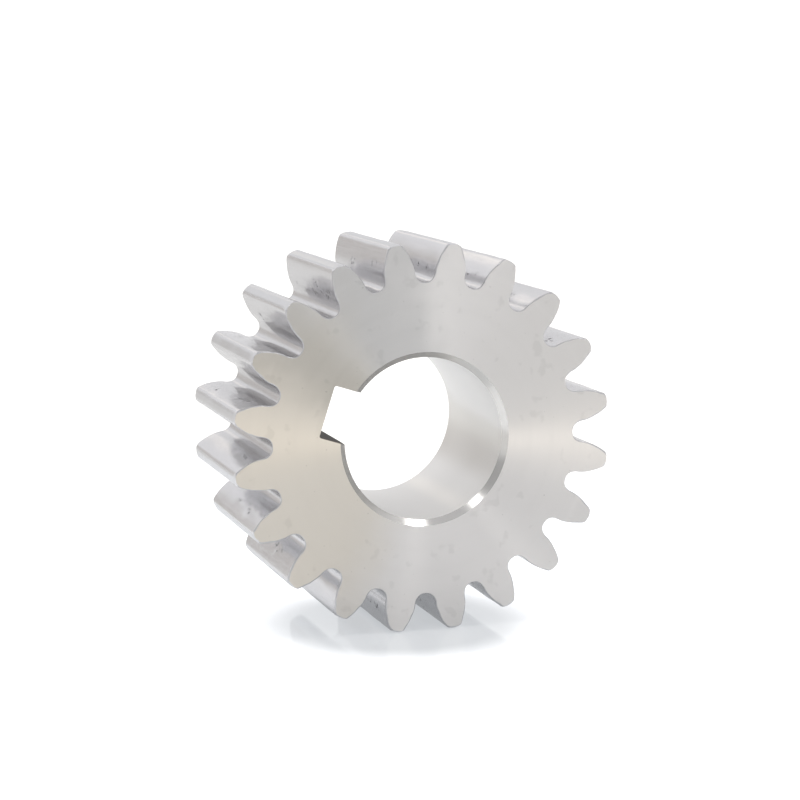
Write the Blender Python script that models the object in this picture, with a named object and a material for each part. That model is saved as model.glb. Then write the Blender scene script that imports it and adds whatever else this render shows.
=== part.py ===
"""Plain steel spur gear: module 2, 20 teeth, 20 mm face, 18 mm bore with a 6 mm keyway.

The gear is one piece of steel, so the model is one object. It is made in the order of the
real machining: a turned blank with a chamfered bore, teeth generated by a hob with the
ISO 53 basic rack, and a keyway broached through the bore.

Frame: the gear's axis is Y, its origin is on the axis at mid face width, and it stands on
two tooth tips with +Z up. The front face looks along -Y.
"""

import math

import bmesh
import bpy
from mathutils import Matrix, Vector

MM = 0.001

# Gear cutting data
MODULE = 2.0 * MM
TEETH = 20
PRESSURE_ANGLE = math.radians(20)
ADDENDUM = 1.0 * MODULE
DEDENDUM = 1.25 * MODULE
HOB_TIP_RADIUS = 0.38 * MODULE
FACE_WIDTH = 10 * MODULE

# Deburring
TIP_ROUNDING = 0.45 * MM
TIP_END_CHAMFER = 0.35 * MM

# Bore and keyway, for an 18 mm shaft with a 6 x 6 parallel key
BORE_DIAMETER = 18.0 * MM
BORE_CHAMFER = 0.8 * MM
KEYWAY_WIDTH = 6.0 * MM
KEYWAY_DEPTH = 2.9 * MM
KEYWAY_CORNER_RADIUS = 0.25 * MM
KEYWAY_TOOTH_SPACE = 4

# Radii and angles that follow from them
PITCH_RADIUS = MODULE * TEETH / 2
BASE_RADIUS = PITCH_RADIUS * math.cos(PRESSURE_ANGLE)
TIP_RADIUS = PITCH_RADIUS + ADDENDUM
BORE_RADIUS = BORE_DIAMETER / 2
TOOTH_PITCH_ANGLE = 2 * math.pi / TEETH
KEYWAY_ANGLE = KEYWAY_TOOTH_SPACE * TOOTH_PITCH_ANGLE
KEYWAY_FLOOR_RADIUS = BORE_RADIUS + KEYWAY_DEPTH

# Mesh fineness
ROOT_FILLET_POINTS = 9
INVOLUTE_POINTS = 9
TIP_ROUNDING_POINTS = 4
BORE_SEGMENTS = 120
KEYWAY_CORNER_POINTS = 4

# A cutting body passes the surface that it leaves whole by this much.
CUTTER_OVERSHOOT = 1.0 * MM
BLANK_OVERSIZE = 0.1 * MM

SMOOTH_BELOW = math.radians(32)


def spaced(start, end, count):
    """count values from start to end, both included."""
    return [start + (end - start) * i / (count - 1) for i in range(count)]


def polar(x, y):
    """(radius, angle from the y axis towards x) of a point in the plane of the gear."""
    return math.hypot(x, y), math.atan2(x, y)


def involute_function(angle):
    return math.tan(angle) - angle


def root_fillet():
    """Polar points of the trochoid that the hob's rounded tip cuts, from the middle of the
    tooth space out to the involute. The rack rolls on the pitch circle without slipping."""
    centre_depth = DEDENDUM - HOB_TIP_RADIUS
    centre_offset = (
        math.pi * MODULE / 4
        - centre_depth * math.tan(PRESSURE_ANGLE)
        - HOB_TIP_RADIUS / math.cos(PRESSURE_ANGLE)
    )
    last_travel = centre_depth / math.tan(PRESSURE_ANGLE) - centre_offset
    points = []
    for travel in spaced(-centre_offset, last_travel, ROOT_FILLET_POINTS):
        from_pitch_point = Vector((centre_offset + travel, -centre_depth))
        contact = from_pitch_point + from_pitch_point.normalized() * HOB_TIP_RADIUS
        radius, angle = polar(contact.x, PITCH_RADIUS + contact.y)
        points.append((radius, angle - travel / PITCH_RADIUS))
    return points


def space_half_angle(radius):
    """Angle from the middle of a tooth space to the involute flank at this radius."""
    at_radius = involute_function(math.acos(BASE_RADIUS / radius))
    at_pitch = involute_function(PRESSURE_ANGLE)
    return TOOTH_PITCH_ANGLE / 4 + at_radius - at_pitch


def tip_corner():
    """Radius where the tip rounding leaves the flank, and the rounding's polar points.

    A curve parallel to an involute is the involute of the same circle with a shorter
    string, so the centre of the rounding has a closed form."""
    centre_radius = TIP_RADIUS - TIP_ROUNDING
    centre_string = math.sqrt(centre_radius**2 - BASE_RADIUS**2)
    string = centre_string + TIP_ROUNDING
    flank_radius = math.hypot(BASE_RADIUS, string)
    roll = string / BASE_RADIUS
    along_string = Vector((math.cos(roll), -math.sin(roll)))
    tangent_point = BASE_RADIUS * Vector((math.sin(roll), math.cos(roll)))
    centre = tangent_point - centre_string * along_string
    _, flank_angle = polar(*(tangent_point - string * along_string))
    turn = space_half_angle(flank_radius) - flank_angle

    to_flank = -along_string
    sweep = to_flank.angle_signed(centre)
    points = []
    for share in spaced(0, 1, TIP_ROUNDING_POINTS)[1:]:
        spoke = to_flank.copy()
        spoke.rotate(Matrix.Rotation(-sweep * share, 2))
        radius, angle = polar(*(centre + TIP_ROUNDING * spoke))
        points.append((radius, angle + turn))
    return flank_radius, points


def half_tooth_pitch():
    """Polar points from the middle of a tooth space to the edge of the flat land at the tip."""
    fillet = root_fillet()
    form_radius = fillet[-1][0]
    flank_radius, rounding = tip_corner()
    flank = [
        (radius, space_half_angle(radius))
        for radius in spaced(form_radius, flank_radius, INVOLUTE_POINTS)[1:]
    ]
    return fillet + flank + rounding


def in_gear_plane(radius, angle, y):
    """The point at this radius, turned by angle from +Z towards -X, which is anticlockwise
    seen from the front."""
    return Vector((-radius * math.sin(angle), y, radius * math.cos(angle)))


def tooth_outline():
    """The closed outline of all the teeth, as polar points."""
    half = half_tooth_pitch()
    outline = []
    for number in range(TEETH):
        space_angle = number * TOOTH_PITCH_ANGLE
        outline += [(radius, space_angle - angle) for radius, angle in reversed(half)]
        outline += [(radius, space_angle + angle) for radius, angle in half]
    return outline


def object_from(name, mesh_builder):
    mesh = bpy.data.meshes.new(name)
    bmesh.ops.recalc_face_normals(mesh_builder, faces=mesh_builder.faces)
    mesh_builder.to_mesh(mesh)
    mesh_builder.free()
    made = bpy.data.objects.new(name, mesh)
    bpy.context.scene.collection.objects.link(made)
    return made


def prism(name, outline, length):
    """A bar along Y, centred on the origin, with this outline of polar points."""
    builder = bmesh.new()
    ring = [builder.verts.new(in_gear_plane(r, a, -length / 2)) for r, a in outline]
    end = builder.faces.new(ring)
    extruded = bmesh.ops.extrude_face_region(builder, geom=[end])
    moved = [item for item in extruded["geom"] if isinstance(item, bmesh.types.BMVert)]
    bmesh.ops.translate(builder, verts=moved, vec=(0, length, 0))
    return object_from(name, builder)


def turned_ring(name, section, segments):
    """A ring turned about Y from a closed section of (radius, y) points."""
    builder = bmesh.new()
    corners = [builder.verts.new((radius, y, 0)) for radius, y in section]
    edges = [
        builder.edges.new((corner, corners[(i + 1) % len(corners)]))
        for i, corner in enumerate(corners)
    ]
    bmesh.ops.spin(
        builder,
        geom=corners + edges,
        cent=(0, 0, 0),
        axis=(0, 1, 0),
        angle=2 * math.pi,
        steps=segments,
        use_merge=True,
    )
    return object_from(name, builder)


def blank():
    """The turned blank: flat faces, a bore with a chamfer at each end, and a rim that only
    its own chamfers trim the teeth with, because it is a little larger than they are."""
    face = FACE_WIDTH / 2
    bore_edge = BORE_RADIUS + BORE_CHAMFER
    rim = TIP_RADIUS + BLANK_OVERSIZE
    rim_face_radius = TIP_RADIUS - TIP_END_CHAMFER
    rim_chamfer = rim - rim_face_radius
    section = [
        (BORE_RADIUS, -face + BORE_CHAMFER),
        (bore_edge, -face),
        (rim_face_radius, -face),
        (rim, -face + rim_chamfer),
        (rim, face - rim_chamfer),
        (rim_face_radius, face),
        (bore_edge, face),
        (BORE_RADIUS, face - BORE_CHAMFER),
    ]
    return turned_ring("spur_gear", section, BORE_SEGMENTS)


def keyway_outline():
    """Polar points of the keyway: from the gear's axis to the flat floor, whose two corners
    are rounded by the broach."""
    half_width = KEYWAY_WIDTH / 2
    centre_x = half_width - KEYWAY_CORNER_RADIUS
    centre_y = KEYWAY_FLOOR_RADIUS - KEYWAY_CORNER_RADIUS
    side = [(half_width, 0.0)]
    for turn in spaced(0, math.pi / 2, KEYWAY_CORNER_POINTS):
        x = centre_x + KEYWAY_CORNER_RADIUS * math.cos(turn)
        y = centre_y + KEYWAY_CORNER_RADIUS * math.sin(turn)
        side.append((x, y))
    corners = side + [(-x, y) for x, y in reversed(side)]
    return [
        (radius, KEYWAY_ANGLE + angle)
        for radius, angle in (polar(x, y) for x, y in corners)
    ]


def cut(body, tool, operation):
    """Applies one Boolean to the body, and removes the tool."""
    modifier = body.modifiers.new(tool.name, "BOOLEAN")
    modifier.operation = operation
    modifier.solver = "EXACT"
    modifier.object = tool
    graph = bpy.context.evaluated_depsgraph_get()
    result = bpy.data.meshes.new_from_object(body.evaluated_get(graph))
    body.modifiers.clear()
    body.data = result
    bpy.data.objects.remove(tool)


def steel():
    material = bpy.data.materials.new("machined_steel")
    material.use_nodes = True
    shader = material.node_tree.nodes["Principled BSDF"]
    shader.inputs["Base Color"].default_value = (0.62, 0.61, 0.59, 1)
    shader.inputs["Metallic"].default_value = 1.0
    shader.inputs["Roughness"].default_value = 0.36
    return material


def build_gear():
    gear = blank()
    cutter_length = FACE_WIDTH + 2 * CUTTER_OVERSHOOT
    cut(gear, prism("hobbed_teeth", tooth_outline(), cutter_length), "INTERSECT")
    cut(gear, prism("keyway_broach", keyway_outline(), cutter_length), "DIFFERENCE")
    gear.data.name = gear.name
    gear.data.materials.clear()
    gear.data.materials.append(steel())
    gear.data.shade_smooth()
    gear.data.set_sharp_from_angle(angle=SMOOTH_BELOW)
    return gear


for leftover in list(bpy.data.objects):
    bpy.data.objects.remove(leftover)

build_gear()
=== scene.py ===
"""The looks of a machined steel spur gear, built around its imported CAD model.

The gear is one piece of steel, so one detailed mesh stands for the CAD node. Its tooth wall and
its bore wall are grids of rows across the face width, and its two flat side faces are filled in
between them. Each cut has a finish of its own: turned faces, turned rim, hobbed teeth, bored
wall, polished chamfers and broached keyway.

Lengths are in millimetres until the mesh is written. The gear's axis is Y, and its front face
looks along -Y. Angles of the outline run from +Z towards -X, anticlockwise seen from the front.
"""

import math

import bmesh
import bpy
import numpy as np
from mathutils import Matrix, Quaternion, Vector
from mathutils.geometry import tessellate_polygon


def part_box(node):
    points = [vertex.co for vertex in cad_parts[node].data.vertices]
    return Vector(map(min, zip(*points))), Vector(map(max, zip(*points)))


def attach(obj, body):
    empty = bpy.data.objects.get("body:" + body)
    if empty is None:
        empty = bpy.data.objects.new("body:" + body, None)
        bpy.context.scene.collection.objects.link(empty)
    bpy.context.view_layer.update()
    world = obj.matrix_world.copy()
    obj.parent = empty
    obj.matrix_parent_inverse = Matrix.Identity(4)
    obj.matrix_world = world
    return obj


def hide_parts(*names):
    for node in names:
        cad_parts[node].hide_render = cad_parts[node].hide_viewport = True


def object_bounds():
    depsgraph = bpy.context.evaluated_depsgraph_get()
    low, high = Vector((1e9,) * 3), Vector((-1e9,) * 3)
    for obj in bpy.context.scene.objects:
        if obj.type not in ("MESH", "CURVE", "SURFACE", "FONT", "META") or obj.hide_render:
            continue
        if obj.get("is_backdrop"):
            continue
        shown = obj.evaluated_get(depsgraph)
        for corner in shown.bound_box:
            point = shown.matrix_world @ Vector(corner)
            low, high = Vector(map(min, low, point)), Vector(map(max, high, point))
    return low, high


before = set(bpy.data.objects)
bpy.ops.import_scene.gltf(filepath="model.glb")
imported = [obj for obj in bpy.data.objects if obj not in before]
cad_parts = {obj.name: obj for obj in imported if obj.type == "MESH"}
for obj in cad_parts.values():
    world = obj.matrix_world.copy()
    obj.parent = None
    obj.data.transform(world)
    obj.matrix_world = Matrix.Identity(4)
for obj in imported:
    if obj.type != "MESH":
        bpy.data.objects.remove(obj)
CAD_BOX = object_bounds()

MM = 0.001
NODE = "spur_gear"
SEED = 20

# Gear cutting data, as in the CAD source
MODULE = 2.0
TEETH = 20
PRESSURE_ANGLE = math.radians(20)
ADDENDUM = 1.0 * MODULE
DEDENDUM = 1.25 * MODULE
HOB_TIP_RADIUS = 0.38 * MODULE
BORE_RADIUS = 9.0
BORE_CHAMFER = 0.8
KEYWAY_HALF_WIDTH = 3.0
KEYWAY_FLOOR = 11.9
KEYWAY_CORNER_RADIUS = 0.25
KEYWAY_TOOTH_SPACE = 4

# Radii and angles that follow from them, and the face width from the CAD node
HALF_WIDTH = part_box(NODE)[1].y / MM
PITCH_RADIUS = MODULE * TEETH / 2
BASE_RADIUS = PITCH_RADIUS * math.cos(PRESSURE_ANGLE)
TIP_RADIUS = PITCH_RADIUS + ADDENDUM
PITCH_ANGLE = 2 * math.pi / TEETH
KEYWAY_ANGLE = KEYWAY_TOOTH_SPACE * PITCH_ANGLE

# Mesh fineness. EDGE_ROWS are the depths of the first rows below each end face.
FILLET_POINTS = 10
FLANK_POINTS = 14
ROUNDING_POINTS = 8
LAND_POINTS = 3
ROW_PITCH = 0.42
EDGE_ROWS = (0.0, 0.03, 0.08, 0.15, 0.24, 0.36, 0.52, 0.75)
BORE_ARC_POINTS = 200
BORE_ROWS = 28
CHAMFER_ROWS = 3
KEYWAY_SIDE_POINTS = 6
KEYWAY_CORNER_POINTS = 5
KEYWAY_FLOOR_POINTS = 7
SHARP_ABOVE = math.radians(40)

# Each tip is rounded along its two sides. Over its last TIP_END_REACH it drops by up to
# TIP_END_CHAMFER, and is crowned to the radius TIP_END_CROWN. The finish of the turned rim takes
# in RIM_FINISH_POINTS of each rounding.
TIP_ROUNDING = 0.80
TIP_END_CHAMFER = 0.08
TIP_END_CROWN = 2.0
TIP_END_REACH = 1.1
RIM_FINISH_POINTS = 4

# Filed bevel around the tooth ends: its width at the root, flank and tip, the heights (root 0 to
# tip 1) where those widths hold, how much it differs between teeth and wanders along the outline
# in waves of two lengths, its limits, and the depths below the end face where its rougher finish
# and its painted shade begin to fade and are gone
BEVEL_ROOT = 0.07
BEVEL_FLANK = 0.12
BEVEL_TIP = 0.17
BEVEL_TIP_REAR = 0.36
BEVEL_HEIGHTS = (0, 0.25, 0.8, 1)
BEVEL_PER_TOOTH = (0.75, 1.35)
BEVEL_WANDER = 0.045
BEVEL_WAVES = (1.6, 0.5)
BEVEL_LIMITS = (0.03, 0.42)
FILED_SHADE_DEPTHS = (0.10, 0.26)

# Waviness of the tooth wall, with longer waves along the teeth than across them
WAVINESS = 0.012
WAVE_LENGTH = 2.4
WAVE_STRETCH = (1, 1, 0.5)

# Depths below the end faces where the waviness and the scars begin and are full, and the same
# for the scars as heights above the root and below the tip
UNEVEN_DEPTHS = (0.15, 0.9)
ABOVE_ROOT = (0.02, 0.2)
BELOW_TIP = (1.0, 0.9)

# Scars on the flanks, as ranges. Their middles are spread around SCAR_PITCH_SHARES of each tooth
# pitch, and lie at SCAR_PLACES of the half width. They move the wall in (-) or out (+).
SCARS_PER_FLANK = (3, 7)
SCAR_PITCH_SHARES = (0.30, 0.70)
SCAR_SPREAD = 0.6
SCAR_PLACES = (-0.75, 0.65)
SCAR_LENGTHS = (0.5, 1.5)
SCAR_WIDTHS = (0.3, 0.7)
SCAR_LEANS = (-0.6, 0.6)
SCAR_MOVES = (-0.06, 0.04)

# The bore opens towards each mouth over MOUTH_REACH, and ends in a narrower chamfer
MOUTH_CHAMFER = 0.65
MOUTH_REACH = 4.0

# Material slots of the piece
FACE, RIM, TEETH_WALL, BORE, CHAMFER, KEYWAY = range(6)

CAMERA_AT = Vector((-80.771, -261.729, 44.323))
CAMERA_TARGET = Vector((0.256, 0.385, 2.942))
CAMERA_ROLL = math.radians(-0.172)
CAMERA_LENS = 108.594


# ---------------------------------------------------------------- outline of the teeth


def involute_function(angle):
    return np.tan(angle) - angle


def root_fillet():
    """(radii, angles) of the trochoid that the hob's rounded tip cuts."""
    depth = DEDENDUM - HOB_TIP_RADIUS
    offset = (
        math.pi * MODULE / 4
        - depth * math.tan(PRESSURE_ANGLE)
        - HOB_TIP_RADIUS / math.cos(PRESSURE_ANGLE)
    )
    travel = np.linspace(-offset, depth / math.tan(PRESSURE_ANGLE) - offset, FILLET_POINTS)
    stretch = 1 + HOB_TIP_RADIUS / np.hypot(offset + travel, depth)
    x, y = (offset + travel) * stretch, PITCH_RADIUS - depth * stretch
    return np.hypot(x, y), np.arctan2(x, y) - travel / PITCH_RADIUS


def space_half_angle(radius):
    """Angle from the middle of a tooth space to the flank at this radius."""
    at_radius = involute_function(np.arccos(BASE_RADIUS / radius))
    return PITCH_ANGLE / 4 + at_radius - involute_function(PRESSURE_ANGLE)


def tip_rounding():
    """Radius where the flank ends, and (radii, angles) of the rounding up to the land."""
    centre_radius = TIP_RADIUS - TIP_ROUNDING
    string = math.sqrt(centre_radius**2 - BASE_RADIUS**2) + TIP_ROUNDING
    flank_radius = math.hypot(BASE_RADIUS, string)
    roll = string / BASE_RADIUS
    along = np.array((math.cos(roll), -math.sin(roll)))
    tangent_point = BASE_RADIUS * np.array((math.sin(roll), math.cos(roll)))
    centre = tangent_point - (string - TIP_ROUNDING) * along
    flank_point = tangent_point - string * along
    turn = space_half_angle(flank_radius) - math.atan2(*flank_point)
    start, end = math.atan2(-along[0], -along[1]), math.atan2(*centre)
    spoke = np.linspace(start, end, ROUNDING_POINTS)[1:]
    x = centre[0] + TIP_ROUNDING * np.sin(spoke)
    y = centre[1] + TIP_ROUNDING * np.cos(spoke)
    return flank_radius, np.hypot(x, y), np.arctan2(x, y) + turn


def tooth_outline():
    """Points (x, z) of the closed tooth outline, anticlockwise seen from the front, with each
    point's outward normal, its height from root 0 to tip 1, and whether it has the finish of
    the turned rim, which wears a little way over the tip roundings."""
    radii, angles = root_fillet()
    flank_radius, rounding_radii, rounding_angles = tip_rounding()
    flank = np.linspace(radii[-1], flank_radius, FLANK_POINTS)[1:]
    radii = np.concatenate((radii, flank, rounding_radii))
    angles = np.concatenate((angles, space_half_angle(flank), rounding_angles))
    land = np.linspace(angles[-1], PITCH_ANGLE - angles[-1], LAND_POINTS + 2)[1:-1]
    pitch_radii = np.concatenate((radii[::-1], radii, np.full(LAND_POINTS, TIP_RADIUS)))
    pitch_angles = np.concatenate((-angles[::-1], angles, land))
    on_rim = np.zeros(len(pitch_radii), bool)
    on_rim[:RIM_FINISH_POINTS] = True
    on_rim[2 * len(radii) - RIM_FINISH_POINTS :] = True
    turns = np.repeat(np.arange(TEETH) * PITCH_ANGLE, len(pitch_radii))
    radius = np.tile(pitch_radii, TEETH)
    angle = np.tile(pitch_angles, TEETH) + turns
    points = np.stack((-radius * np.sin(angle), radius * np.cos(angle)), 1)
    lowest = radii.min()
    height = (radius - lowest) / (TIP_RADIUS - lowest)
    return points, outward(points), height, np.tile(on_rim, TEETH)


def outward(points):
    """Unit normals of a closed anticlockwise outline."""
    along = np.roll(points, -1, 0) - np.roll(points, 1, 0)
    normal = np.stack((along[:, 1], -along[:, 0]), 1)
    return normal / np.linalg.norm(normal, axis=1, keepdims=True)


# ---------------------------------------------------------------- uneven detail


def waves(rng, positions, wavelength, count=24):
    """Smooth noise of about -1 to 1 at these positions, one row each, as a sum of waves."""
    total = np.zeros(positions.shape[:-1])
    for _ in range(count):
        direction = rng.normal(size=positions.shape[-1])
        direction /= np.linalg.norm(direction)
        number = 2 * math.pi / (wavelength * rng.uniform(0.7, 1.6))
        total += np.sin(positions @ direction * number + rng.uniform(0, 2 * math.pi))
    return total / math.sqrt(count / 2) / 1.6


def smooth_step(low, high, value):
    share = np.clip((value - low) / (high - low), 0, 1)
    return share * share * (3 - 2 * share)


def bevel_inset(width, depth):
    """How far a rounded bevel of this width stands in, at this depth below the end face."""
    share = np.clip(1 - depth / width, 0, 1)
    return width * (1 - np.sqrt(1 - share * share))


def bevel_widths(rng, points, height, tip):
    """Width of the filed bevel along the outline: widest at the tips, and never even."""
    flat = np.interp(height, BEVEL_HEIGHTS, (BEVEL_ROOT, BEVEL_FLANK, BEVEL_FLANK, tip))
    tooth = np.repeat(rng.uniform(*BEVEL_PER_TOOTH, TEETH), len(points) // TEETH)
    long, short = (waves(rng, points, length) for length in BEVEL_WAVES)
    uneven = long + 0.5 * short
    return np.clip(flat * tooth + BEVEL_WANDER * uneven * (0.3 + height), *BEVEL_LIMITS)


def tip_limit(points, depth):
    """Greatest radius of each wall vertex, which crowns the tips near the two ends. depth is
    each row's distance below the nearer end face."""
    turn = np.arctan2(-points[:, 0], points[:, 1]) / PITCH_ANGLE
    off_middle = (turn % 1 - 0.5) * PITCH_ANGLE * TIP_RADIUS
    rounded = TIP_END_CHAMFER + off_middle**2 / (2 * TIP_END_CROWN)
    share = smooth_step(TIP_END_REACH, 0.0, depth)
    return TIP_RADIUS - share[:, None] * rounded[None, :]


def row_positions():
    """y of each row of the tooth wall, close together at the two ends."""
    edge = np.array(EDGE_ROWS)
    reach = HALF_WIDTH - EDGE_ROWS[-1]
    count = round(2 * reach / ROW_PITCH)
    middle = np.linspace(-reach, reach, count + 1)[1:-1]
    return np.concatenate((-HALF_WIDTH + edge, middle, (HALF_WIDTH - edge)[::-1]))


def flank_scars(rng, points, y):
    """Torn and smeared spots where the hob dragged the steel: how far each wall vertex moves
    along its normal, and how torn it is from 0 to 1."""
    moved = np.zeros((len(y), len(points)))
    torn = np.zeros_like(moved)
    per_tooth = len(points) // TEETH
    lengths = np.cumsum(np.linalg.norm(np.roll(points, -1, 0) - points, axis=1))
    for tooth in range(TEETH):
        for share in SCAR_PITCH_SHARES:
            middle = lengths[tooth * per_tooth + int(per_tooth * share)]
            for _ in range(rng.integers(*SCARS_PER_FLANK)):
                across = lengths[None, :] - (middle + rng.normal(0, SCAR_SPREAD))
                down = y[:, None] - rng.uniform(*SCAR_PLACES) * HALF_WIDTH
                long = rng.uniform(*SCAR_LENGTHS)
                wide = rng.uniform(*SCAR_WIDTHS)
                lean = rng.uniform(*SCAR_LEANS)
                spot = np.exp(-(((down + lean * across) / long) ** 2) - (across / wide) ** 2)
                torn = np.maximum(torn, spot)
                moved += rng.uniform(*SCAR_MOVES) * spot
    return moved, torn


# ---------------------------------------------------------------- mesh


class Surface:
    """Vertices and faces of the piece, collected in millimetres. Each face has a material
    slot, and each vertex says how torn it is and whether it lies on a filed edge."""

    def __init__(self):
        self.vertices, self.faces, self.slots, self.torn, self.edge = [], [], [], [], []

    def grid(self, positions, slot_of, torn=None, edge=None):
        """A closed wall from positions[row, column]. slot_of gives each face's material slot.
        Returns the vertex numbers."""
        rows, columns = positions.shape[:2]
        first = len(self.vertices)
        self.vertices.extend(positions.reshape(-1, 3).tolist())
        nothing = np.zeros((rows, columns))
        self.torn.extend((nothing if torn is None else torn).ravel().tolist())
        self.edge.extend((nothing if edge is None else edge).ravel().tolist())
        number = first + np.arange(rows * columns).reshape(rows, columns)
        for row in range(rows - 1):
            for column in range(columns):
                following = (column + 1) % columns
                face = [
                    number[row, column],
                    number[row, following],
                    number[row + 1, following],
                    number[row + 1, column],
                ]
                self.faces.append([int(v) for v in face])
                self.slots.append(slot_of(row, column))
        return number

    def fill(self, outer, inner, towards):
        """Fills the flat ring between two loops of vertex numbers. towards is -1 or 1 in y."""
        numbers = [int(v) for v in outer] + [int(v) for v in inner]
        loops = [
            [Vector((self.vertices[v][0], self.vertices[v][2], 0)) for v in loop]
            for loop in (outer, inner)
        ]
        for triangle in tessellate_polygon(loops):
            a, b, c = (numbers[i] for i in triangle)
            p, q, r = (np.array(self.vertices[v]) for v in (a, b, c))
            facing = np.cross(q - p, r - p)[1]
            self.faces.append([a, b, c] if facing * towards > 0 else [a, c, b])
            self.slots.append(FACE)


def tooth_wall(surface, rng):
    """The wall around all the teeth, from the front face to the rear one."""
    points, normals, height, on_rim = tooth_outline()
    y = row_positions()
    rows, columns = len(y), len(points)
    depth = HALF_WIDTH - np.abs(y)
    front = bevel_widths(rng, points, height, BEVEL_TIP)
    rear = bevel_widths(rng, points, height, BEVEL_TIP_REAR)
    inset = np.stack([bevel_inset(front if at < 0 else rear, d) for at, d in zip(y, depth)])
    moved, torn = flank_scars(rng, points, y)
    away_from_ends = smooth_step(*UNEVEN_DEPTHS, depth)[:, None]
    on_flank = (smooth_step(*ABOVE_ROOT, height) * smooth_step(*BELOW_TIP, height))[None, :]
    torn *= away_from_ends * on_flank
    moved *= away_from_ends * on_flank
    across, along = np.repeat(points[None], rows, 0), np.repeat(y[:, None], columns, 1)
    place = np.concatenate((across, along[:, :, None]), axis=2)
    moved += WAVINESS * waves(rng, place * WAVE_STRETCH, WAVE_LENGTH) * away_from_ends
    plane = points[None] + normals[None] * (moved - inset)[:, :, None]
    radius = np.linalg.norm(plane, axis=2)
    plane *= np.minimum(1, tip_limit(points, depth) / radius)[:, :, None]
    positions = np.stack((plane[..., 0], along, plane[..., 1]), 2)
    filed_and_shaded = 1 - smooth_step(*FILED_SHADE_DEPTHS, depth)[:, None] * np.ones((1, columns))

    def slot_of(row, column):
        rim = on_rim[column] and on_rim[(column + 1) % columns]
        return RIM if rim else TEETH_WALL

    return surface.grid(positions, slot_of, torn=torn, edge=filed_and_shaded)


def keyway_section(bore_radius):
    """Points (across, outwards) of the bore and keyway at one depth, with the keyway pointing
    along outwards, and each span's material slot. Starts on the bore, opposite the keyway."""
    meeting = math.asin(KEYWAY_HALF_WIDTH / bore_radius)
    arc = np.linspace(meeting, 2 * math.pi - meeting, BORE_ARC_POINTS)
    section = [(bore_radius * math.sin(a), bore_radius * math.cos(a)) for a in arc]
    slots = [BORE] * (BORE_ARC_POINTS - 1)
    mouth = bore_radius * math.cos(meeting)
    corner = KEYWAY_FLOOR - KEYWAY_CORNER_RADIUS
    side = [(-KEYWAY_HALF_WIDTH, o) for o in np.linspace(mouth, corner, KEYWAY_SIDE_POINTS)[1:]]
    turn = np.linspace(0, math.pi / 2, KEYWAY_CORNER_POINTS)[1:]
    centre = KEYWAY_HALF_WIDTH - KEYWAY_CORNER_RADIUS
    rounded = [
        (-centre - KEYWAY_CORNER_RADIUS * math.cos(t), corner + KEYWAY_CORNER_RADIUS * math.sin(t))
        for t in turn
    ]
    floor = [(a, KEYWAY_FLOOR) for a in np.linspace(-centre, centre, KEYWAY_FLOOR_POINTS)[1:-1]]
    half = side + rounded
    keyway = half + floor + [(-a, o) for a, o in reversed(half)]
    return np.array(section + keyway), slots + [KEYWAY] * (len(keyway) + 1)


def bore_wall(surface):
    """The wall of the bore and keyway. The bore opens a little towards each mouth, so that its
    chamfer is narrower than the CAD's and ends on the same circle."""
    end = HALF_WIDTH - MOUTH_CHAMFER
    middle = np.linspace(-end, end, BORE_ROWS)
    chamfer = np.linspace(0, MOUTH_CHAMFER, CHAMFER_ROWS + 1)[:-1]
    y = np.concatenate((-HALF_WIDTH + chamfer, middle, (HALF_WIDTH - chamfer)[::-1]))
    opening = np.clip(1 - (end - np.abs(y)) / MOUTH_REACH, 0, 1)
    mouth = (BORE_CHAMFER - MOUTH_CHAMFER) * opening**2
    radii = BORE_RADIUS + mouth + np.maximum(0, np.abs(y) - end)
    sections = [keyway_section(radius) for radius in radii]
    slots = sections[0][1]
    out_x, out_z = -math.sin(KEYWAY_ANGLE), math.cos(KEYWAY_ANGLE)
    rows = []
    for at, (section, _) in zip(y, sections):
        across, out = section[:, 0], section[:, 1]
        x = out * out_x + across * out_z
        z = out * out_z - across * out_x
        rows.append(np.stack((x, np.full(len(x), at), z), 1))
    last = len(y) - 2

    def slot_of(row, column):
        in_chamfer = row < CHAMFER_ROWS or row > last - CHAMFER_ROWS
        return CHAMFER if slots[column] == BORE and in_chamfer else slots[column]

    return surface.grid(np.array(rows), slot_of)


def gear_mesh():
    """The whole gear as one closed mesh, with hard edges at its sharp turns and between
    finishes, except between the rim and the tooth wall, which run into each other."""
    rng = np.random.default_rng(SEED)
    surface = Surface()
    teeth = tooth_wall(surface, rng)
    bore = bore_wall(surface)
    surface.fill(teeth[0], bore[0], -1)
    surface.fill(teeth[-1], bore[-1], 1)
    mesh = bpy.data.meshes.new("machined_gear")
    scaled = [(x * MM, y * MM, z * MM) for x, y, z in surface.vertices]
    mesh.from_pydata(scaled, [], surface.faces)
    mesh.polygons.foreach_set("material_index", surface.slots)
    for name in ("torn", "edge"):
        layer = mesh.attributes.new(name, "FLOAT", "POINT")
        layer.data.foreach_set("value", getattr(surface, name))
    builder = bmesh.new()
    builder.from_mesh(mesh)
    bmesh.ops.recalc_face_normals(builder, faces=builder.faces)
    for face in builder.faces:
        face.smooth = True
    for edge in builder.edges:
        one, other = (face.material_index for face in edge.link_faces)
        finishes_meet = one != other and {one, other} != {RIM, TEETH_WALL}
        edge.smooth = not (edge.calc_face_angle() > SHARP_ABOVE or finishes_meet)
    builder.to_mesh(mesh)
    builder.free()
    return mesh


# ---------------------------------------------------------------- node helpers


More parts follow.
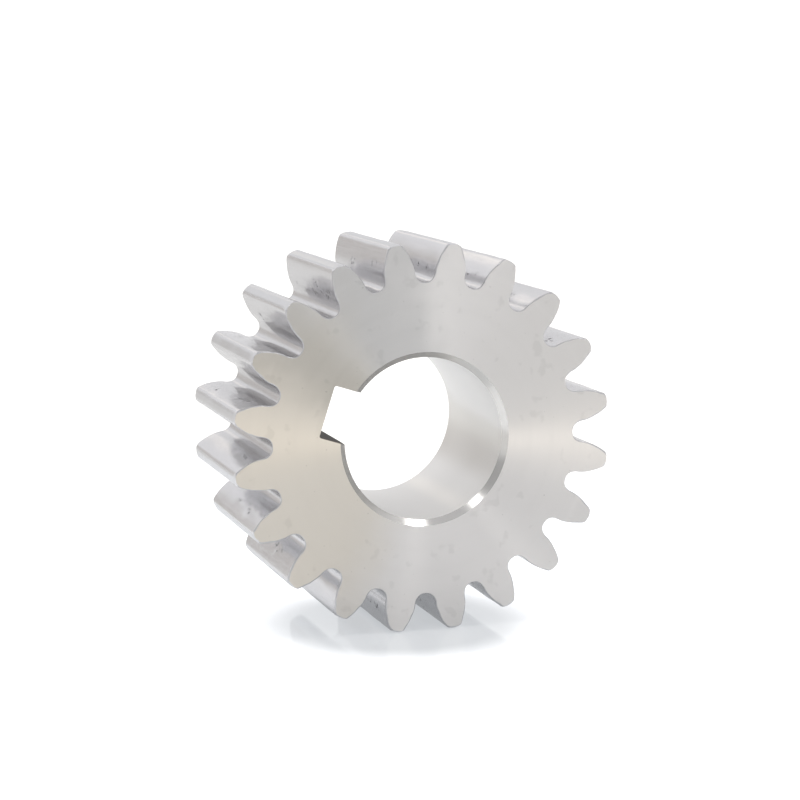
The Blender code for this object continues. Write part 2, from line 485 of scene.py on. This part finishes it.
class Nodes:
    """Short calls to build one node tree."""

    def __init__(self, tree):
        self.tree = tree
        tree.nodes.clear()

    def add(self, kind, settings=(), inputs=()):
        node = self.tree.nodes.new("ShaderNode" + kind)
        for name, value in dict(settings).items():
            setattr(node, name, value)
        for name, value in dict(inputs).items():
            self.feed(node, name, value)
        return node

    def feed(self, node, name, value):
        socket = node.inputs[name]
        if isinstance(value, bpy.types.NodeSocket):
            self.tree.links.new(value, socket)
        else:
            socket.default_value = value

    def math(self, operation, *values, clamp=False):
        node = self.add("Math", {"operation": operation, "use_clamp": clamp})
        for i, value in enumerate(values):
            self.feed(node, i, value)
        return node.outputs[0]

    def stretched(self, scale):
        """Object coordinates in millimetres, scaled per axis."""
        place = self.add("TexCoord").outputs["Object"]
        node = self.add("VectorMath", {"operation": "MULTIPLY"}, {0: place})
        node.inputs[1].default_value = [s / MM for s in scale]
        return node.outputs[0]

    def noise(self, vector, scale=1.0, detail=2.0, roughness=0.5):
        inputs = {"Vector": vector, "Scale": scale, "Detail": detail, "Roughness": roughness}
        return self.add("TexNoise", (), inputs).outputs["Fac"]

    def remap(self, value, low, high, to_low=0.0, to_high=1.0):
        inputs = {
            "Value": value,
            "From Min": low,
            "From Max": high,
            "To Min": to_low,
            "To Max": to_high,
        }
        return self.add("MapRange", {"interpolation_type": "SMOOTHSTEP"}, inputs).outputs[0]

    def mix_colour(self, share, one, other, how="MIX"):
        """The Mix node's colour sockets are inputs 6 and 7 and output 2."""
        node = self.add("Mix", {"data_type": "RGBA", "blend_type": how}, {"Factor": share})
        self.feed(node, 6, one)
        self.feed(node, 7, other)
        return node.outputs[2]

    def radius_line(self, scale):
        """A vector that changes only with the distance from the gear's axis."""
        flat = self.stretched((scale, 0, scale))
        length = self.add("VectorMath", {"operation": "LENGTH"}, {0: flat}).outputs["Value"]
        return self.add("CombineXYZ", (), {"X": length}).outputs[0]


def steel(name, colour, roughness, anisotropic, rotation=0.0, edge=1.0):
    """A metal material, its node builder and its shader. edge is the share of the usual
    reflectance that is left at a grazing angle."""
    material = bpy.data.materials.new(name)
    material.use_nodes = True
    nodes = Nodes(material.node_tree)
    shader = nodes.add(
        "BsdfPrincipled",
        (),
        {
            "Base Color": (*colour, 1),
            "Metallic": 1.0,
            "Roughness": roughness,
            "Anisotropic": anisotropic,
            "Anisotropic Rotation": rotation,
            "Specular Tint": (edge, edge, edge, 1),
        },
    )
    if anisotropic:
        tangent = nodes.add("Tangent", {"direction_type": "RADIAL", "axis": "Y"})
        nodes.feed(shader, "Tangent", tangent.outputs[0])
    output = nodes.add("OutputMaterial")
    nodes.tree.links.new(shader.outputs[0], output.inputs[0])
    return material, nodes, shader


def bump(nodes, shader, height, depth):
    """depth is in millimetres for a height of 1."""
    node = nodes.add("Bump", (), {"Height": height, "Distance": depth * MM, "Strength": 1.0})
    nodes.feed(shader, "Normal", node.outputs[0])


def toned(colour, share):
    """This colour made darker or lighter, with alpha 1."""
    return tuple(c * share for c in colour) + (1,)


def aligned(nodes, towards, direction):
    """Cosine of the angle between a unit vector socket and this direction."""
    dot = nodes.add("VectorMath", {"operation": "DOT_PRODUCT"}, {0: towards})
    dot.inputs[1].default_value = Vector(direction).normalized()
    return dot.outputs["Value"]


# Two sectors of the face, by the angle of their middle line from +X towards +Z, and the
# cosines away from it where each fades out and is full. The face's colour holds painted shade
# in the first and a painted warm reflection in the second.
SHADE_SECTOR = (math.radians(122), 0.66, 0.96)
WARM_REFLECTION_SECTOR = (math.radians(188), 0.30, 0.85)
SHADE_SHARE = (0.81, 0.82, 0.825, 1)
WARM_REFLECTION_SHARE = (0.95, 0.915, 0.84, 1)
STAIN_SHARE = 0.93
SPECK_SHARE = 0.75


def sector(nodes, middle, outer, inner):
    """1 inside a sector of the face around the gear's axis, and 0 outside, with soft ragged
    edges."""
    flat = nodes.stretched((1, 0, 1))
    spoke = nodes.add("VectorMath", {"operation": "NORMALIZE"}, {0: flat}).outputs[0]
    cloud = nodes.noise(nodes.stretched((0.16, 0.16, 0.16)), detail=3)
    cosine = aligned(nodes, spoke, (math.cos(middle), 0, math.sin(middle)))
    ragged = nodes.math("ADD", cosine, nodes.math("MULTIPLY_ADD", cloud, 0.4, -0.2))
    return nodes.remap(ragged, outer, inner)


def turned_face():
    """Concentric turning marks. The face has painted shade in one sector and a painted warm
    reflection in another, and has faint stains and specks."""
    colour = (0.622, 0.608, 0.596)
    material, nodes, shader = steel("turned_face", colour, 0.40, 1.0, 0.25)
    rings = nodes.noise(nodes.radius_line(6.0), detail=3)
    bump(nodes, shader, rings, 0.0006)
    stain = nodes.remap(nodes.noise(nodes.stretched((0.55, 0.55, 0.55)), detail=2), 0.62, 0.72)
    speck = nodes.remap(nodes.noise(nodes.stretched((2.6, 2.6, 2.6)), detail=1), 0.74, 0.80)
    look = toned(colour, 1)
    # Painted shade in one sector, and a painted warm reflection in the other
    for place, share in ((SHADE_SECTOR, SHADE_SHARE), (WARM_REFLECTION_SECTOR, WARM_REFLECTION_SHARE)):
        inside = nodes.mix_colour(sector(nodes, *place), (1, 1, 1, 1), share)
        look = nodes.mix_colour(1.0, look, inside, "MULTIPLY")
    for mark, share in ((stain, STAIN_SHARE), (speck, SPECK_SHARE)):
        marked = nodes.mix_colour(1.0, look, (share, share, share, 1), "MULTIPLY")
        look = nodes.mix_colour(mark, look, marked)
    nodes.feed(shader, "Base Color", look)
    streak = nodes.remap(nodes.noise(nodes.radius_line(1.5), detail=4), 0.3, 0.7, 0.385, 0.415)
    nodes.feed(shader, "Roughness", streak)
    return material


def turned_rim():
    """The lands at the tooth tips, turned like the faces and a little scuffed."""
    colour = (0.56, 0.56, 0.57)
    material, nodes, shader = steel("turned_rim", colour, 0.28, 0.5, 0.25, edge=0.8)
    scuff = nodes.noise(nodes.stretched((1.2, 0.5, 1.2)), detail=3)
    scuffed = nodes.mix_colour(scuff, toned(colour, 0.92), toned(colour, 1.08))
    nodes.feed(shader, "Base Color", scuffed)
    nodes.feed(shader, "Roughness", nodes.remap(scuff, 0.3, 0.7, 0.28, 0.35))
    return material


# Pits and tears on the scarred flanks, and how dark their painted shade is. The largest pit is a
# share of their spacing, and TEAR_WIDTH is a span of the noise whose middle line the tears follow.
PIT_SPACING = 0.40
PIT_LARGEST = 0.36
TEAR_WIDTH = 0.06
PIT_SHADE_SHARE = 0.28

# Relief of the hobbed wall: the depth of a pit or tear in millimetres, and how much of it the
# streaks, the bands and the ragged spots stand out
PIT_DEPTH = 0.05
STREAK_RELIEF = 0.012
BAND_RELIEF = 0.10
RAG_RELIEF = 0.45


def pits(nodes, torn):
    """1 inside the small torn pits, and 0 elsewhere. They lie only in the torn spots."""
    places = {"Vector": nodes.stretched((1, 0.7, 1)), "Scale": 1 / PIT_SPACING}
    cells = nodes.add("TexVoronoi", (), places)
    chance = nodes.add("SeparateColor", (), {"Color": cells.outputs["Color"]}).outputs[0]
    likely = nodes.math("SUBTRACT", nodes.math("MULTIPLY", torn, 1.3), chance, clamp=True)
    warp = nodes.noise(nodes.stretched((5, 5, 5)), detail=2)
    size = nodes.math("MULTIPLY", nodes.math("MULTIPLY", warp, 2.0), PIT_LARGEST)
    size = nodes.math("MULTIPLY", size, likely)
    inside = nodes.math("SUBTRACT", size, cells.outputs["Distance"])
    return nodes.remap(inside, -0.02, 0.05)


def tears(nodes, torn):
    """1 on thin curled tears, and 0 elsewhere. They lie only in the torn spots."""
    curls = nodes.noise(nodes.stretched((2.2, 1.5, 2.2)), detail=3, roughness=0.6)
    off_line = nodes.math("ABSOLUTE", nodes.math("SUBTRACT", curls, 0.5))
    broken = nodes.remap(nodes.noise(nodes.stretched((1.6, 1.6, 1.6)), detail=1), 0.48, 0.62)
    width = nodes.math("MULTIPLY", nodes.remap(torn, 0.45, 0.9), broken)
    width = nodes.math("MULTIPLY", width, TEAR_WIDTH)
    inside = nodes.math("SUBTRACT", width, off_line)
    return nodes.remap(inside, -0.005, 0.015)


def hobbed_teeth():
    """Streaks along the teeth, pits and curled tears in the scarred spots, and rougher filed edges
    at the tooth ends. The pits, tears and filed edges are darkened with painted shade."""
    colour = (0.70, 0.695, 0.71)
    material, nodes, shader = steel("hobbed_teeth", colour, 0.20, 0.3, edge=0.6)
    shader.inputs["Metallic"].default_value = 0.85
    streaks = nodes.noise(nodes.stretched((5.0, 0.10, 5.0)), detail=3)
    bands = nodes.noise(nodes.stretched((1.3, 0.10, 1.3)), detail=2)
    torn = nodes.add("Attribute", {"attribute_name": "torn"}).outputs["Fac"]
    rags = nodes.noise(nodes.stretched((2.2, 1.4, 2.2)), detail=4, roughness=0.6)
    ragged = nodes.math("MULTIPLY", rags, nodes.remap(torn, 0.25, 0.75))
    pit_and_shade = nodes.math("MAXIMUM", pits(nodes, torn), tears(nodes, torn))
    height = nodes.math("MULTIPLY", bands, BAND_RELIEF)
    height = nodes.math("MULTIPLY_ADD", streaks, STREAK_RELIEF, height)
    height = nodes.math("MULTIPLY_ADD", ragged, RAG_RELIEF, height)
    bump(nodes, shader, nodes.math("SUBTRACT", height, pit_and_shade), PIT_DEPTH)
    filed_and_shaded = nodes.add("Attribute", {"attribute_name": "edge"}).outputs["Fac"]
    worn_and_edge_shade = nodes.mix_colour(bands, toned(colour, 0.94), toned(colour, 1.06))
    # Painted shade on the filed bevels at the tooth ends
    worn_and_edge_shade = nodes.mix_colour(filed_and_shaded, worn_and_edge_shade, toned(colour, 0.66))
    # Painted shade in the pits and tears
    nodes.feed(shader, "Base Color", nodes.mix_colour(pit_and_shade, worn_and_edge_shade, toned(colour, PIT_SHADE_SHARE)))
    rough = nodes.remap(streaks, 0.3, 0.7, 0.17, 0.25)
    rough = nodes.math("MULTIPLY_ADD", filed_and_shaded, 0.18, rough)
    nodes.feed(shader, "Roughness", nodes.math("MAXIMUM", rough, nodes.math("MULTIPLY", pit_and_shade, 0.6)))
    return material


def bored_wall():
    """A cloudy bored finish, brighter towards the rear."""
    colour = (0.61, 0.60, 0.585)
    material, nodes, shader = steel("bored_wall", colour, 0.28, 0.6, 0.25, edge=0.8)
    clouds = nodes.noise(nodes.stretched((0.22, 0.16, 0.22)), detail=3)
    nodes.feed(shader, "Roughness", nodes.remap(clouds, 0.3, 0.7, 0.285, 0.315))
    cloudy = nodes.mix_colour(clouds, toned(colour, 0.95), toned(colour, 1.05))
    along = nodes.add("SeparateXYZ", (), {"Vector": nodes.stretched((1, 1, 1))}).outputs["Y"]
    towards_rear = nodes.remap(along, -2.0, 10.0)
    nodes.feed(shader, "Base Color", nodes.mix_colour(towards_rear, cloudy, toned(colour, 1.12)))
    return material


def polished_chamfer():
    """A bright chamfer with faint turning lines."""
    colour = (0.62, 0.61, 0.59)
    material, nodes, shader = steel("polished_chamfer", colour, 0.16, 0.0)
    shader.inputs["Metallic"].default_value = 0.62
    lines = nodes.noise(nodes.stretched((0.3, 5.0, 0.3)), detail=2)
    bump(nodes, shader, lines, 0.0006)
    return material


def broached_keyway_painted_shade():
    """Keyway walls painted dark and nearly matt, as painted shade, with broaching streaks."""
    # Painted shade: the keyway's colour is near black where the steel would shine
    colour = (0.050, 0.041, 0.031)
    material, nodes, shader = steel("broached_keyway_painted_shade", colour, 0.55, 0.0)
    shader.inputs["Metallic"].default_value = 0.0
    shader.inputs["Specular IOR Level"].default_value = 0.06
    streaks = nodes.noise(nodes.stretched((8.0, 0.15, 8.0)), detail=3)
    bump(nodes, shader, streaks, 0.01)
    streaky_shade = nodes.mix_colour(streaks, toned(colour, 0.6), toned(colour, 1.8))
    nodes.feed(shader, "Base Color", streaky_shade)
    return material


# The floor glows a little by itself, so that shadows on it stay pale. It is darker in an oval
# around the gear, a painted shadow where the gear's faint mirror image also shows. The oval is
# given in (x, y), and OVAL_FADE is where its edge begins and ends, as shares of its half axes.
FLOOR_IOR = 1.17
OVAL_MIDDLE = (-2.0, -5.3)
OVAL_HALF = (15.0, 15.5)
OVAL_FADE = (0.75, 1.2)
PAINTED_SHADOW_WHITE, FAR_WHITE = (0.28, 0.285, 0.29, 1), (0.82, 0.83, 0.84, 1)
NEAR_GLOW, FAR_GLOW = (0.44, 0.455, 0.47, 1), (0.45, 0.46, 0.47, 1)


def floor_material():
    """A pale floor with a faint gloss, with painted shadow in the oval."""
    material = bpy.data.materials.new("lit_white_floor")
    material.use_nodes = True
    nodes = Nodes(material.node_tree)
    flat = nodes.stretched((1 / OVAL_HALF[0], 1 / OVAL_HALF[1], 0))
    spoke = nodes.add("VectorMath", {"operation": "SUBTRACT"}, {0: flat})
    spoke.inputs[1].default_value = [m / h for m, h in zip(OVAL_MIDDLE, OVAL_HALF)] + [0]
    length = nodes.add("VectorMath", {"operation": "LENGTH"}, {0: spoke.outputs[0]})
    # Painted shadow: the floor's base colour is darker inside the oval
    outside_shadow_oval = nodes.remap(length.outputs["Value"], *OVAL_FADE)
    inputs = {
        "Base Color": nodes.mix_colour(outside_shadow_oval, PAINTED_SHADOW_WHITE, FAR_WHITE),
        "Emission Color": nodes.mix_colour(outside_shadow_oval, NEAR_GLOW, FAR_GLOW),
        "Emission Strength": 1.0,
        "Roughness": 0.03,
        "IOR": FLOOR_IOR,
    }
    shader = nodes.add("BsdfPrincipled", (), inputs)
    output = nodes.add("OutputMaterial")
    nodes.tree.links.new(shader.outputs[0], output.inputs[0])
    return material


# ---------------------------------------------------------------- studio

FLOOR_RADIUS = 90.0
FLOOR_SEGMENTS = 96

# Radiance of the sky above and below the horizon, and of a level strip of glow at the right.
# The strip's height and its start sideways are the Z and X of a unit vector towards it.
ABOVE = (1.24, 1.235, 1.25, 1)
BELOW = (1.24, 1.23, 1.21, 1)
SIDE_GLOW = (6.0, 5.6, 5.1, 1)
GLOW_HEIGHT = -0.182
GLOW_HALF = 0.045
GLOW_SIDEWAYS = (0.50, 0.75)

# Round patches of the sky: the direction towards each, its half angle and soft edge in degrees,
# and its radiance. The last two are lamps, and the one before them shows in the bore.
PATCHES = (
    ((0.75, 0.10, 0.65), 17, 12, (0.75, 0.75, 0.76)),
    ((0.0, -0.15, 1.0), 28, 10, (0.58, 0.58, 0.60)),
    ((-0.80, -0.40, 0.44), 18, 10, (0.30, 0.30, 0.31)),
    ((-0.36, -0.76, 0.50), 18, 12, (0.66, 0.66, 0.67)),
    ((0.80, -0.58, 0.16), 18, 10, (0.70, 0.69, 0.68)),
    ((0.49, -0.62, 0.60), 12, 8, (1.12, 1.12, 1.13)),
    ((-0.31, 0.94, 0.07), 8, 5, (0.80, 0.76, 0.72)),
    ((-0.94, -0.29, -0.16), 13, 10, (0.95, 0.94, 0.93)),
    ((0.015, 0.94, 0.326), 3.2, 2, (1.9, 1.81, 1.70)),
    ((-0.50, -0.30, 0.81), 4.5, 1.5, (12.0, 11.9, 11.7)),
    ((0.41, -0.12, 0.90), 6, 1.5, (16.0, 15.8, 15.5)),
)


def studio_light():
    """A light tent: an even white sky, with dimmer patches overhead and at the sides, two small
    lamps overhead, and a warm glow low down at the right."""
    world = bpy.data.worlds.new("soft_studio")
    bpy.context.scene.world = world
    world.use_nodes = True
    nodes = Nodes(world.node_tree)
    towards = nodes.add("TexCoord").outputs["Generated"]
    split = nodes.add("SeparateXYZ", (), {"Vector": towards})
    height = split.outputs["Z"]
    sky = nodes.mix_colour(nodes.remap(height, -0.02, 0.02), BELOW, ABOVE)
    off_line = nodes.math("ABSOLUTE", nodes.math("SUBTRACT", height, GLOW_HEIGHT))
    strip = nodes.remap(off_line, GLOW_HALF * 1.5, GLOW_HALF * 0.5)
    sideways = nodes.remap(split.outputs["X"], *GLOW_SIDEWAYS)
    sky = nodes.mix_colour(nodes.math("MULTIPLY", strip, sideways), sky, SIDE_GLOW)
    for direction, half, soft, radiance in PATCHES:
        outer, inner = (math.cos(math.radians(half + s)) for s in (soft, -soft))
        share = nodes.remap(aligned(nodes, towards, direction), outer, inner)
        sky = nodes.mix_colour(share, sky, (*radiance, 1))
    background = nodes.add("Background", (), {"Color": sky, "Strength": 1.0})
    output = nodes.add("OutputWorld")
    nodes.tree.links.new(background.outputs[0], output.inputs[0])


def add_floor(lowest):
    mesh = bpy.data.meshes.new("studio_floor")
    rim = [2 * math.pi * i / FLOOR_SEGMENTS for i in range(FLOOR_SEGMENTS)]
    radius = FLOOR_RADIUS * MM
    corners = [(radius * math.cos(a), radius * math.sin(a), 0) for a in rim]
    mesh.from_pydata(corners, [], [range(FLOOR_SEGMENTS)])
    floor = bpy.data.objects.new("studio_floor", mesh)
    floor.location.z = lowest
    mesh.materials.append(floor_material())
    bpy.context.scene.collection.objects.link(floor)
    floor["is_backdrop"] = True


def add_camera():
    data = bpy.data.cameras.new("camera")
    data.lens = CAMERA_LENS
    data.clip_start, data.clip_end = 0.01, 200
    camera = bpy.data.objects.new("camera", data)
    camera.location = CAMERA_AT * MM
    camera.rotation_mode = "QUATERNION"
    aim = (CAMERA_TARGET - CAMERA_AT).to_track_quat("-Z", "Y")
    camera.rotation_quaternion = aim @ Quaternion((0, 0, 1), CAMERA_ROLL)
    bpy.context.scene.collection.objects.link(camera)
    bpy.context.scene.camera = camera


def add_gear():
    """The piece that stands for the CAD node, with its materials in the order of the slots."""
    mesh = gear_mesh()
    finishes = (
        turned_face,
        turned_rim,
        hobbed_teeth,
        bored_wall,
        polished_chamfer,
        broached_keyway_painted_shade,
    )
    for finish in finishes:
        mesh.materials.append(finish())
    gear = bpy.data.objects.new("machined_gear", mesh)
    bpy.context.scene.collection.objects.link(gear)
    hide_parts(NODE)
    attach(gear, "root")


bpy.context.scene.view_settings.view_transform = "Standard"
add_camera()
add_gear()
bpy.context.view_layer.update()
add_floor(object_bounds()[0].z)
studio_light()

boxes = {"cad": CAD_BOX, "visual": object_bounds()}
{name: [list(corner) for corner in box] for name, box in boxes.items()}
